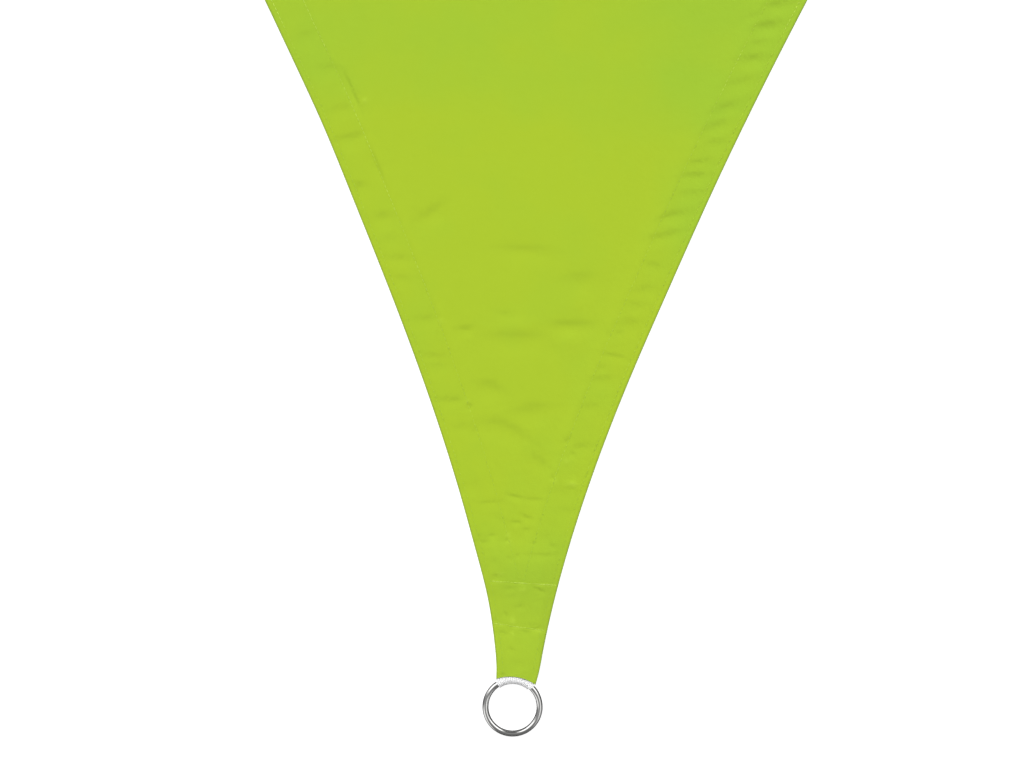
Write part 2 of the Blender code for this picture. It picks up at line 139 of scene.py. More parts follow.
# Creases of a corner: half width, height (a trough below 0), then the points (u, v) it passes, in millimetres
CREASES = (
    (6.7, -0.55, (-93, 400), (-80, 408), (-69, 417)),
    (5.5, -0.42, (-30, 380), (-2, 379), (28, 377)),
    (9.0, -0.54, (32, 354), (59, 356)),
    (6.2, -0.64, (15, 316), (38, 317), (60, 318)),
    (4.5, -0.50, (-58, 312), (-50, 312), (-42, 314)),
    (3.4, -0.20, (-24, 326), (-12, 325)),
    (8.5, -0.50, (-38, 305), (-9, 306), (25, 306)),
    (6.7, -0.30, (16, 304), (29, 294)),
    (7.9, -0.62, (-42, 266), (-29, 265), (-15, 257)),
    (8.0, -0.54, (-12, 242), (9, 246), (25, 248)),
    (8.0, -0.60, (-40, 233), (-21, 234), (-4, 226), (10, 216)),
    (5.0, -0.50, (3, 212), (13, 204), (23, 196)),
    (4.5, -0.17, (-23, 156), (-15, 153)),
    (11.2, -0.42, (-44, 189), (-39, 174)),
    (9.0, 0.40, (29, 306), (44, 309)),
    (11.2, 0.50, (-29, 130), (-17, 133)),
    (9.0, 0.40, (-21, 316), (8, 319)),
    # round the tip, where most are fine
    (2.6, -0.20, (-14, 176), (-5, 174), (3, 173)),
    (2.4, -0.16, (0, 173), (10, 172), (20, 172)),
    (2.2, -0.14, (-41, 169), (-32, 168), (-21, 170), (-10, 170)),
    (2.6, -0.21, (-1, 160), (4, 157), (10, 156)),
    (2.0, -0.18, (-10, 153), (-5, 153), (1, 153)),
    (3.4, -0.18, (-23, 159), (-16, 154), (-14, 154)),
    (2.2, -0.14, (0, 147), (4, 147), (8, 148)),
    (2.2, -0.12, (-37, 141), (-31, 141)),
    (2.2, -0.14, (-28, 141), (-21, 142)),
    (2.4, -0.16, (-37, 136), (-31, 136), (-25, 136)),
    (2.0, -0.20, (-17, 138), (-9, 138)),
    (2.2, 0.25, (-10, 139), (-8, 136)),
    (1.8, 0.12, (-10, 145), (-10, 140)),
    (2.0, -0.18, (9, 136), (13, 136)),
    (2.4, -0.15, (23, 134), (30, 134)),
    (2.6, -0.14, (-1, 126), (9, 126), (20, 126), (28, 127), (34, 129)),
    (2.2, -0.14, (-13, 123), (-8, 123), (-5, 123)),
    (2.2, -0.20, (-4, 124), (-1, 127)),
    (4.5, -0.24, (-28, 120), (-17, 119)),
    (3.4, -0.22, (-32, 113), (-23, 115)),
    (2.2, -0.23, (-25, 109), (-19, 108), (-14, 107)),
    (1.8, 0.12, (-20, 112), (-14, 110)),
    (2.4, -0.20, (-13, 98), (-7, 98), (-2, 99)),
    (2.0, 0.28, (0, 99.6), (2, 98), (5, 99)),
    (2.0, -0.14, (-1, 100), (1, 96)),
    (2.0, -0.26, (11, 100), (17, 97), (22, 95)),
    (2.0, -0.14, (11, 92), (18, 93)),
    (2.0, -0.14, (12, 88), (18, 89)),
    (3.2, -0.18, (-25, 92), (-16, 91)),
    (3.0, -0.20, (-10, 91), (-3, 91)),
    (2.2, -0.24, (-2, 83), (3, 83)),
    (2.2, -0.14, (2, 88), (3, 84)),
    (2.2, -0.20, (-14, 78), (-9, 76)),
    (2.2, -0.14, (-24, 72), (-18, 71)),
    (2.0, -0.16, (3, 69), (11, 67.5), (18, 69)),
    (2.2, -0.22, (7, 65.5), (14, 65), (20, 67)),
    (2.0, -0.18, (2, 63), (10, 62)),
    (2.2, -0.18, (-17, 62), (-9, 60)),
    (1.8, 0.28, (-5.4, 75), (-4.9, 70), (-4.3, 66)),
    (1.8, -0.24, (-6.8, 66), (-6.4, 57)),
    (1.8, 0.20, (-4.6, 63), (-5, 58)),
    (2.0, -0.17, (-8, 51), (-7, 48), (-3, 47)),
    (3.0, -0.12, (-5, 37), (6, 36)),
    (3.0, 0.19, (-1, 30), (9, 30)),
    (2.0, -0.14, (-15, 27), (-9, 26)),
    # the ridges that the two seams across the tip have pulled up
    (1.2, 0.06, (-23, 103.8), (-12, 103.3)),
    (1.1, 0.05, (-2, 102.9), (7, 102.5)),
    (1.2, 0.06, (10, 102.4), (32, 101.5)),
    (1.3, 0.05, (-21, 69), (-12, 67.9)),
    (1.3, 0.05, (-7, 67.3), (4, 66.0)),
    (1.3, 0.05, (9, 65.4), (22, 63.8)),
    # spots and short creases beside the inner rows of thread
    (2.6, -0.30, (-47, 250), (-43, 248)),
    (2.2, 0.25, (-48, 253), (-45, 253)),
    (2.6, -0.25, (-41, 228), (-38, 230)),
    (2.4, 0.25, (-72, 320), (-69, 320)),
    (2.6, -0.28, (35, 220), (38, 222)),
    (2.2, 0.20, (34, 205), (38, 206)),
    (2.6, -0.25, (40, 212), (43, 210)),
    (2.4, -0.30, (23, 192), (26, 190)),
    (2.2, 0.22, (26, 189), (29, 188)),
    (2.6, -0.22, (75, 312), (80, 313)),
    (2.6, -0.20, (62, 282), (66, 284)),
    (3.0, -0.26, (-128, 445), (-122, 447)),
    (2.4, 0.22, (-140, 500), (-136, 503)),
    (3.4, -0.40, (-134, 463), (-127, 447), (-119, 431)),
    (2.9, -0.70, (-158, 528), (-150, 512), (-144, 498), (-140, 490)),
    (2.4, 0.36, (38, 186.5), (46, 186)),
    # across the left hem
    (5.6, -0.34, (-178, 527), (-158, 526)),
    (4.5, -0.30, (-168, 490), (-147, 496)),
    (5.6, -0.46, (-163, 466), (-148, 469), (-135, 474)),
    (7.9, -0.71, (-144, 428), (-137, 429)),
    (6.7, -0.51, (-128, 403), (-113, 405)),
    (4.5, -0.20, (-119, 385), (-105, 387)),
    (3.9, -0.32, (-117, 370), (-95, 370)),
    (4.5, -0.20, (-115, 353), (-94, 353)),
    (4.5, -0.34, (-94, 319), (-71, 321)),
    (3.9, -0.27, (-88, 291), (-61, 288)),
    (4.5, -0.24, (-84, 281), (-61, 281)),
    (3.4, -0.40, (-73, 254), (-62, 253), (-48, 254)),
    (4.5, -0.24, (-61, 229), (-39, 232)),
    (3.4, -0.13, (-43, 168), (-18, 168), (-5, 166)),
    (6.7, -0.35, (-193, 551), (-180, 555)),
    # across the right hem
    (4.5, -0.54, (192, 585), (216, 590)),
    (4.5, -0.34, (177, 575), (191, 580)),
    (5.6, -0.80, (182, 567), (208, 572)),
    (4.5, -0.34, (179, 553), (201, 558)),
    (5.1, -0.64, (171, 540), (197, 544)),
    (4.5, -0.34, (159, 518), (188, 527)),
    (5.6, -0.55, (152, 497), (174, 505)),
    (4.5, -0.51, (143, 480), (156, 487), (169, 491)),
    (4.5, -0.40, (147, 471), (162, 472)),
    (3.9, -0.38, (130, 454), (154, 457)),
    (4.5, -0.54, (126, 443), (150, 445)),
    (3.9, -0.24, (123, 428), (151, 431)),
    (4.5, -0.54, (107, 406), (120, 411), (135, 413)),
    (4.5, -0.47, (98, 390), (113, 393), (130, 398)),
    (3.9, -0.35, (96, 370), (114, 367)),
    (3.9, -0.35, (89, 347), (106, 350)),
    (4.5, -0.27, (83, 336), (100, 334)),
    (6.2, -0.42, (77, 319), (97, 320)),
    (3.4, -0.20, (64, 313), (73, 311)),
    (3.0, -0.27, (62, 295.5), (72, 293), (86, 291)),
    (4.5, -0.30, (52, 272), (77, 274)),
    (4.5, -0.30, (46, 250), (63, 250)),
    (3.4, -0.20, (33, 220), (43, 226)),
    (4.5, -0.40, (40, 216), (58, 217)),
    (4.5, -0.17, (20, 179), (46, 181)),
    (3.4, 0.35, (40, 188), (47, 187)),
    (3.4, -0.20, (30, 164), (48, 163)),
    (4.5, -0.20, (18, 141), (26, 141)),
)
FINE_DEPTH = 1.6  # the fine creases, under 3 mm in half width, are this much deeper than written
STEEP, GENTLE = 0.85, 2.3  # a crease's two sides, as shares of its half width
FOLD_END = 0.25  # share of a crease's height at its two ends
FOLD_FADE = 0.4  # share of its length over which it comes to its full height
FULL_SHADE = 0.15  # a trough this steep (depth by half width) gets the full painted shade
HIGHLIGHT_HALF = 0.0025  # ridges narrower than this get a painted highlight
# Puckers of the hems between the corners
PLAIN_FROM = 0.66  # along a side, where the corner's own creases end
PUCKER_PITCH = 0.018
PUCKER_GROWTH = 0.016  # added to the pitch towards the middle of a side
# Least and most of a pucker: its two ends in from the edge, its lean along the side, its half width in
# pitches, its depth in millimetres and the way to the next one in pitches
PUCKER_FIRST, PUCKER_LAST, PUCKER_LEAN = (0.004, 0.012), (0.020, 0.032), (-0.006, 0.010)
PUCKER_HALF, PUCKER_DEPTH, PUCKER_STEP = (0.24, 0.36), (0.12, 0.62), (0.6, 1.4)

# Mesh of the cloth
STATION_NEAR = 0.0028  # between points along an edge, near a corner
STATION_FAR = 0.0090
NEAR_END = 0.60
FAR_FADE = (SIDE / 2 - NEAR_END) / 2.2  # from there, over which they grow further apart
RIM_INSETS = (0.00007, 0.00024, 0.0005, 0.0009, 0.0019)
HEM_INSETS = (
    0.0040, 0.0052, 0.0064, 0.0095, 0.0130, 0.0165, 0.0200, 0.0240, 0.0274, 0.0288, 0.0302, 0.0320, 0.0362,
)
MOUTH_STEPS = 24
LEAST_MITRE = 0.35
CREASE_GRIDS = ((0.0030, 0.0016), (0.0046, 0.0027), (0.0200, 0.0042))  # up to this half width, this pitch
# Grids of a tip and of a corner, in the corner's frame, and of the whole sail: their box and their pitch
TIP_GRID = (-0.06, 0.02, 0.06, 0.165, 0.0034)
CORNER_GRID = (-0.26, 0.10, 0.26, 0.62, 0.012)
SAIL_GRID = (-1.6, -1.8, 1.6, 1.0, 0.050)
# Least way from a point to the ones that were there before it
THREAD_GAP, HEM_GAP, TIP_GAP, CORNER_GAP, SAIL_GAP = 0.0003, 0.0010, 0.0022, 0.009, 0.03
CREASE_GAP = 0.75  # the same in a crease's grid, as a share of its pitch
RIM_GAP = 0.0008

STITCH_PITCH, CROSS_PITCH = 0.0040, 0.0030
STITCH_CLEAR, CROSS_CLEAR = 0.0030, 0.0016  # from the rim to the nearest stitch
OUTER_START = 0.004  # past the mouth, where the outer rows begin
STITCH_LENGTH = 0.0033
THREAD_RADIUS = 0.00024


def smooth(x):
    """0 to 1 with level ends."""
    x = np.clip(x, 0.0, 1.0)
    return x * x * (3 - 2 * x)


def fade(place, start, length):
    """0 up to start, and from there smoothly to 1 over this length."""
    return smooth((place - start) / length)


def mix(a, b, share):
    return a + (b - a) * share


# ---- frames ----


def turned(x, y, angle):
    c, s = math.cos(angle), math.sin(angle)
    return x * c - y * s, x * s + y * c


def to_sail(k, u, v):
    return turned(u, v - CENTRE, TURN * k)


def in_corner(k, x, y):
    u, v = turned(x, y, -TURN * k)
    return u, v + CENTRE


def along_side(k, t, h):
    return to_sail(k, t * HALF_SIN - h * HALF_COS, t * HALF_COS + h * HALF_SIN)


def placed(k, points):
    """Rows of points of a corner, in the sail's frame."""
    return np.array(to_sail(k, *points.T)).T


def edge_depth(t):
    share, near, far = t / SIDE, np.minimum(t, SIDE - t), SIDE - t
    depth = 4 * EDGE_HOLLOW * share * (1 - share) - TIP_SPREAD
    depth = depth + NECK_DEPTH * (1 - np.exp(-near / NECK_LENGTH))
    for from_corner, slack in ((t, RIGHT_SLACK), (far, LEFT_SLACK)):
        for place, half, outward in slack:
            depth = depth - outward * np.exp(-(((from_corner - place) / half) ** 2))
    return depth - TIP_FLARE * np.exp(-np.maximum(far - TIP_START, 0) / FLARE_LENGTH)


def edge_slope(t):
    step = 1e-4
    return (edge_depth(t + step) - edge_depth(t - step)) / (2 * step)


def inside_side(k, x, y):
    u, v = in_corner(k, x, y)
    t, h = u * HALF_SIN + v * HALF_COS, v * HALF_SIN - u * HALF_COS
    return t, (h - edge_depth(t)) / np.hypot(1, edge_slope(t))


def side_distances(x, y):
    return np.array([inside_side(k, x, y)[1] for k in range(CORNERS)])


def inset_point(k, t, inset):
    slope = edge_slope(t)
    size = np.hypot(1, slope)
    return along_side(k, t - inset * slope / size, edge_depth(t) + inset / size)


def mouth_distance(u, v):
    return np.hypot(u - RING_OFFSET, v)


def mouth_radius(angle):
    """Distance of the mouth from the ring's middle, at this angle from v."""
    return MOUTH_RADIUS + MOUTH_FLARE * ((angle - STRAP_TURN) / MOUTH_HALF_ANGLE) ** 2


def past_mouth(u, v):
    return mouth_distance(u, v) - mouth_radius(np.arctan2(u - RING_OFFSET, np.maximum(v, 1e-6)))


def edge_ends():
    """Chord positions where an edge meets the mouths of its two corners."""
    ends = []
    for corner, start, way in ((0, 0.0, 1), (1, SIDE, -1)):
        t = start + way * np.arange(TIP_START / 2, 2 * TIP_START, 1e-5)
        beyond = past_mouth(*in_corner(corner, *inset_point(0, t, 0))) >= 0
        ends.append(float(t[np.argmax(beyond)]))
    return ends


# ---- heights ----


def wire_height(v):
    return RING_HEIGHT + v * math.sin(RING_TILT)


def strap_heights(u, v):
    """(underside, top) of the folded webbing past the wire."""
    share = np.sin(np.clip((mouth_distance(u, v) - RING_RADIUS) / SETTLE, 0, 1) * np.pi / 2)
    wire = wire_height(np.minimum(v, RING_RADIUS))
    return (
        mix(wire - WRAP_OUTER, LOWER_LAYER, share),
        mix(wire + WRAP_OUTER, UPPER_LAYER + STRAP_THICK, share),
    )


def hem_puckers():
    """Creases across the hems between the corners, as the ones of CREASES but in the sail's frame."""
    draw, made = np.random.default_rng(7), []
    for k in range(CORNERS):
        t = PLAIN_FROM
        while t < SIDE - PLAIN_FROM:
            middle = 1 - abs(2 * t / SIDE - 1)
            pitch = PUCKER_PITCH + PUCKER_GROWTH * middle
            first, last = draw.uniform(*PUCKER_FIRST), draw.uniform(*PUCKER_LAST)
            lean = draw.uniform(*PUCKER_LEAN)
            half, height = pitch * draw.uniform(*PUCKER_HALF), -draw.uniform(*PUCKER_DEPTH) * MM
            shares = np.array([0, 0.5, 1])
            points = np.array(inset_point(k, t + shares * lean, mix(first, last, shares))).T
            made.append((half, height, points))
            t += pitch * draw.uniform(*PUCKER_STEP)
    return made


def corner_creases():
    made = []
    for k in range(CORNERS):
        for half, height, *points in CREASES:
            height *= FINE_DEPTH if half < 3 else 1
            made.append((half * MM, height * MM, placed(k, np.array(points, float) * MM)))
    return made


FOLDS = corner_creases() + hem_puckers()


def line_place(x, y, points):
    """(distance from a line through these points, share of its length at the nearest place, which side)."""
    lengths = np.hypot(*np.diff(points, axis=0).T)
    best, place, side, before = np.full(x.shape, 1e9), np.zeros(x.shape), np.zeros(x.shape), 0.0
    for (ax, ay), (bx, by), length in zip(points, points[1:], lengths):
        share = np.clip(((x - ax) * (bx - ax) + (y - ay) * (by - ay)) / length**2, 0, 1)
        off = np.hypot(x - mix(ax, bx, share), y - mix(ay, by, share))
        nearer = off < best
        best = np.where(nearer, off, best)
        place = np.where(nearer, (before + share * length) / lengths.sum(), place)
        side = np.where(nearer, (bx - ax) * (y - ay) - (by - ay) * (x - ax), side)
        before += length
    return best, place, side


def folds(x, y):
    """(height, painted shading) of all the creases at these points.

    A trough is steeper on its side away from the ring, and painted shade darkens it there. The fine ridges
    get a painted highlight instead, which is a shading below 0.
    """
    low, high, painted_crease_shading, painted_ridge_highlight = np.zeros((4, *x.shape))
    for half, height, points in FOLDS:
        (x0, y0), (x1, y1) = points.min(0) - GENTLE * half, points.max(0) + GENTLE * half
        inside = np.flatnonzero((x > x0) & (x < x1) & (y > y0) & (y < y1))
        if not len(inside):
            continue
        off, place, side = line_place(x[inside], y[inside], points)
        off = off / np.where(side > 0, STEEP, GENTLE)
        hollow = np.clip(1 - (off / half) ** 2, 0, 1)
        ends = mix(FOLD_END, 1, smooth(np.minimum(place, 1 - place) / FOLD_FADE))
        if height < 0:
            low[inside] = np.minimum(low[inside], height * ends * hollow**2)
            # 2.6 is what brings the wall's steepest place to 1
            wall = np.where(side > 0, 2.6 * hollow * off / half, 0) * ends
            painted_crease_shading[inside] = np.maximum(painted_crease_shading[inside], wall * min(-height / half / FULL_SHADE, 1))
        else:
            high[inside] = np.maximum(high[inside], height * ends * hollow**2)
            if half < HIGHLIGHT_HALF:
                painted_ridge_highlight[inside] = np.maximum(painted_ridge_highlight[inside], ends * hollow**2)
    return low + high, painted_crease_shading - painted_ridge_highlight


def groove(off, along):
    """A row of thread's own trough, pulled in unevenly along its length."""
    pull = 0.6 + 0.4 * np.sin(along * 700 + 3 * np.sin(along * 113)) * np.sin(along * 61 + 2)
    return -ROW_GROOVE * pull * np.clip(1 - (off / ROW_HALF) ** 2, 0, 1) ** 2


def hem_groove(off, t):
    """The same along a hem, where the trough grows shallower towards the corners."""
    near = np.minimum(t, SIDE - t)
    return groove(off, t) * mix(TIP_GROOVE, 1, fade(near, GROOVE_START, GROOVE_FADE))


def flap_thickness(u, v):
    """The flap turned under round the webbing, pressed thin at the mouth."""
    return HEM_THICK * mix(FLAP_PRESSED, 1, smooth(past_mouth(u, v) / FLAP_SWELL))


def cover(u, v):
    """How much cloth lies over the webbing: the doubled flap near the ring, then the panel alone."""
    return COVER_GAP + mix(flap_thickness(u, v), LAYER, fade(v, TURNED_UNDER, COVER_THINS))


def flat_heights(x, y):
    """(face, underside) of the cloth, before its edges are rounded."""
    along, distances = np.swapaxes([inside_side(k, x, y) for k in range(CORNERS)], 0, 1)
    nearest = distances.argmin(0)[None]
    d, t = (np.take_along_axis(a, nearest, 0)[0] for a in (distances, along))
    in_hem = 1 - fade(d, HEM_WIDTH, HEM_FALL)
    face = FACE_IN + HEM_RISE * in_hem
    face = face + BROAD_WAVE * (1 + math.prod(np.sin(a * x + b * y + c) for a, b, c in WAVES)) / 2
    relief = folds(x, y)[0] + hem_groove(d - OUTER_ROW, t) * OUTER_GROOVE
    for k in range(CORNERS):
        v = in_corner(k, x, y)[1]
        shown = (v > UPPER_SEAM) & (v < SIDE / 2)
        for side in (k, (k + CORNERS - 1) % CORNERS):
            relief = relief + shown * hem_groove(distances[side] - INNER_ROW, along[side])
    under = np.where(d < HEM_WIDTH + HEM_OVERLAP, HEM_THICK, LAYER)
    back = np.maximum(face + relief * BACK_RELIEF - under, LOWEST)
    for k in range(CORNERS):
        u, v = in_corner(k, x, y)
        near = v < SIDE / 4
        beside = np.maximum(np.abs(u - STRAP_MIDDLE) - RAISED_HALF, 0) / RAISED_SIDE_FALL
        beyond = np.maximum(v - STRAP_END, 0) / RAISED_END_FALL
        share = (1 - smooth(np.hypot(beside, beyond))) * near
        top = strap_heights(u, v)[1] + cover(u, v)
        face = mix(face, np.maximum(top, face), share)
        flap = face + relief * FLAP_RELIEF - flap_thickness(u, v)
        closed = fade(v, TURNED_UNDER, FLAP_STEP)
        back = np.where(near & (share > 0), mix(flap, np.minimum(back, flap), closed), back)
        back = np.where(near & (share > 0.98) & (v > TURNED_UNDER), mix(flap, LOWEST, closed), back)
        for ends in CROSS_ROWS:
            off = line_place(u, v, np.array(ends) * MM)[0]
            relief = relief + np.where(near, groove(off / CROSS_WIDTH, u + v) * CROSS_DEPTH, 0)
    return face + relief, np.maximum(np.minimum(back, face + relief - LAYER), LOWEST)


def rim_distance(x, y):
    """Distance in from the outline, mouths included."""
    d = side_distances(x, y).min(0)
    for k in range(CORNERS):
        u, v = in_corner(k, x, y)
        d = np.where(v < TIP_START / 3, 0, np.minimum(d, past_mouth(u, v)))
    return np.maximum(d, 0)


def cloth_heights(x, y):
    face, back = flat_heights(x, y)
    sides = np.maximum(side_distances(x, y).min(0), 0)
    share = np.clip(1 - np.minimum(sides / EDGE_ROUND, rim_distance(x, y) / MOUTH_ROUND), 0, 1)
    bulge, middle, half = np.sqrt(1 - share**2), (face + back) / 2, (face - back) / 2
    return middle + half * bulge, middle - half * bulge


# ---- plan of the cloth ----


def stations():
    """Chord positions along a side, closer near its ends."""
    start, end = edge_ends()
    steps, t = [], start
    while t < SIDE / 2:
        steps.append(t)
        t += mix(STATION_NEAR, STATION_FAR, float(fade(t, NEAR_END, FAR_FADE)))
    far = [end - (s - start) for s in steps]
    return np.array(steps + far[::-1])


def mouth_points(k, ends):
    """The mouth of corner k, from the edge that comes in to the one that goes out."""
    angles = []
    for corner, t in ((1, ends[-1]), (0, ends[0])):
        u, v = in_corner(corner, *inset_point(0, t, 0))
        angles.append(math.atan2(u - RING_OFFSET, v))
    a = np.linspace(*angles, MOUTH_STEPS)[1:-1]
    return np.array(to_sail(k, RING_OFFSET + mouth_radius(a) * np.sin(a), mouth_radius(a) * np.cos(a))).T


def outline_points(t):
    parts = []
    for k in range(CORNERS):
        parts.append(np.array(inset_point(k, t, 0)).T)
        parts.append(mouth_points((k + 1) % CORNERS, t))
    return np.concatenate(parts)


def drawn_in(points, inset):
    """The outline moved in by inset, with its corners mitred."""
    before, after = points - np.roll(points, 1, 0), np.roll(points, -1, 0) - points
    normals = [np.stack((-e[:, 1], e[:, 0]), 1) / np.hypot(*e.T)[:, None] for e in (before, after)]
    total = normals[0] + normals[1]
    total /= np.hypot(*total.T)[:, None]
    mitre = np.maximum((total * normals[0]).sum(1), LEAST_MITRE)
    return points + total * (inset / mitre)[:, None]


def hex_grid(x0, y0, x1, y1, pitch):
    rows = np.arange(y0, y1, pitch * math.sqrt(0.75))
    found = []
    for j, y in enumerate(rows):
        x = np.arange(x0 + (j % 2) * pitch / 2, x1, pitch)
        found.append(np.stack((x, np.full(x.shape, y)), 1))
    return np.concatenate(found)


def thinned(groups):
    """The points of all groups, each at least its group's gap from the ones before it."""
    cells, size, kept = {}, 0.004, []
    for points, gap in groups:
        reach = int(math.ceil(gap / size))
        for x, y in points.tolist():
            i, j = int(x // size), int(y // size)
            crowded = any(
                (p - x) ** 2 + (q - y) ** 2 < gap * gap
                for a in range(i - reach, i + reach + 1)
                for b in range(j - reach, j + reach + 1)
                for p, q in cells.get((a, b), ())
            )
            if not crowded:
                cells.setdefault((i, j), []).append((x, y))
                kept.append((x, y))
    return np.array(kept)


def inner_points(t):
    """Points inside the rim: rows along the hems and threads, then grids as fine as the creases need."""
    rows, threads, tips, coarse = [], [], [], []
    creased = [([], pitch * CREASE_GAP) for _, pitch in CREASE_GRIDS]
    for k in range(CORNERS):
        for inset in HEM_INSETS:
            x, y = inset_point(k, t, inset)
            clear = side_distances(x, y).min(0) > 0.93 * inset  # not in another side's hem
            rows.append(np.stack((x, y), 1)[clear])
        for left, right in np.array(CROSS_ROWS) * MM:
            for off in np.linspace(-2, 2, 7) * ROW_HALF:
                threads.append(placed(k, np.linspace(left, right, 25) + (0, off)))
        for v in (TURNED_UNDER - 0.0002, TURNED_UNDER + 0.0012):
            threads.append(placed(k, np.linspace((-0.026, v), (0.026, v), 37)))
        tips.append(placed(k, hex_grid(*TIP_GRID)))
        least = 0.0
        for (most, pitch), (found, _) in zip(CREASE_GRIDS, creased):
            for half, _, *points in CREASES:
                if least < half * MM <= most:
                    line = np.array(points, float) * MM
                    (u0, v0), (u1, v1) = line.min(0) - GENTLE * most, line.max(0) + GENTLE * most
                    grid = hex_grid(u0 - u0 % pitch, v0 - v0 % (pitch * math.sqrt(3)), u1, v1, pitch)
                    off, _, side = line_place(*grid.T, line)
                    near = off < half * MM * np.where(side > 0, STEEP, GENTLE * 0.8) + pitch * 1.1
                    found.append(placed(k, grid[near]))
            least = most
        coarse.append(placed(k, hex_grid(*CORNER_GRID)))
    groups = [(threads, THREAD_GAP), (rows, HEM_GAP), *creased, (tips, TIP_GAP), (coarse, CORNER_GAP)]
    groups = [(np.concatenate(g), gap) for g, gap in groups] + [(hex_grid(*SAIL_GRID), SAIL_GAP)]
    limit = RIM_INSETS[-1] + RIM_GAP
    return thinned([(g[rim_distance(*g.T) > limit], gap) for g, gap in groups])


# ---- meshes ----


def quads(*corners):
    """Faces, from a grid of point numbers for each of their corners."""
    return np.stack([c.ravel() for c in corners], 1).tolist()


def add(name, data):
    made = bpy.data.objects.new(name, data)
    bpy.context.scene.collection.objects.link(made)
    return made


def new_piece(name, points, faces, material, **tones):
    data = bpy.data.meshes.new(name)
    data.from_pydata(points.tolist(), [], faces)
    data.validate()
    data.shade_smooth()
    data.materials.append(material)
    for tone, values in tones.items():
        data.attributes.new(tone, "FLOAT", "POINT").data.foreach_set("value", values.astype(np.float32))
    made = add(name, data)
    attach(made, "root")
    return made


# ---- cloth ----


def cloth_tone(x, y):
    """1 where the cloth looks greener: at the tips, along the hems, right of a corner and further in."""
    d = side_distances(x, y).min(0)
    tone, inner = 0.10 * (1 - fade(d, HEM_WIDTH - 0.002, 0.004)), np.ones(x.shape)
    for k in range(CORNERS):
        u, v = in_corner(k, x, y)
        inner = np.minimum(inner, fade(v, 0.47, 0.06))
        tone = tone + 0.40 * (1 - fade(v, 0.110, 0.08))
        right = fade(v, 0.28, 0.11) * (1 - fade(v, 0.62, 0.35))
        tone = tone + 0.60 * fade(u, 0.08, 0.07) * right
    return np.clip(tone + 0.52 * inner, 0, 1)


def painted_edge_shade(x, y):
    """Painted shade: 1 on the folded edge of a side and 0 a little way in, and a little of it over each tip.
    """
    tone = 1 - smooth(side_distances(x, y).min(0) / EDGE_SHADE)
    for k in range(CORNERS):
        v = in_corner(k, x, y)[1]
        tone = np.maximum(tone, 0.22 * (1 - fade(v, 0.09, 0.07)))
    return tone


def cloth(material):
    t = stations()
    outline = outline_points(t)
    rim = len(outline)
    rings = [outline] + [drawn_in(outline, inset) for inset in RIM_INSETS]
    plan, _, faces, *_ = delaunay_2d_cdt(
        [Vector(p) for p in (*rings[-1], *inner_points(t))],
        [(i, (i + 1) % rim) for i in range(rim)], [list(range(rim))], 1, 1e-9,
    )
    plan = np.array([tuple(p) for p in plan])
    flat = np.concatenate(rings[:-1] + [plan])
    face, back = cloth_heights(flat[:, 0], flat[:, 1])
    face[:rim] = back[:rim] = (face[:rim] + back[:rim]) / 2
    upper = np.column_stack((flat, face))
    lower = np.column_stack((flat[rim:], back[rim:]))
    first = rim * (len(rings) - 1)
    upper_faces = [(first + a, first + b, first + c) for a, b, c in faces]
    i = np.arange(rim)
    j = (i + 1) % rim
    for ring in range(len(rings) - 1):
        a, b = ring * rim, (ring + 1) * rim
        upper_faces += quads(a + i, a + j, b + j, b + i)
    lift = len(upper) - rim
    lower_faces = [tuple(n if n < rim else n + lift for n in f)[::-1] for f in upper_faces]
    # Two of these tones are painted for the material: painted shade along the edges and in the creases, and
    # where the crease tone is below 0, a painted highlight on the fine ridges.
    tones = {"tone": cloth_tone(*flat.T), "edge": painted_edge_shade(*flat.T), "painted_crease_shading": folds(*flat.T)[1]}
    return new_piece(
        "sail_sheet", np.concatenate((upper, lower)), upper_faces + lower_faces, material,
        **{name: np.concatenate((values, values[rim:])) for name, values in tones.items()},
    )


# ---- thread ----

STITCH_SWING = 0.035  # it leans out of its row by about this much, as a slope,
STITCH_STRAY = 0.00012  # and lies beside the row by about this
STITCH_SHARES = (-0.5, -0.3, 0.3, 0.5)  # places along a stitch
STITCH_ARCH = (-0.6, 0.55, 0.55, -0.6)  # its height there and
STITCH_TAPER = (0.45, 1, 1, 0.45)  # its radius, both in thread radii
STITCH_FLAT = 0.8  # it is this much lower than wide
STITCH_SIDES = 5


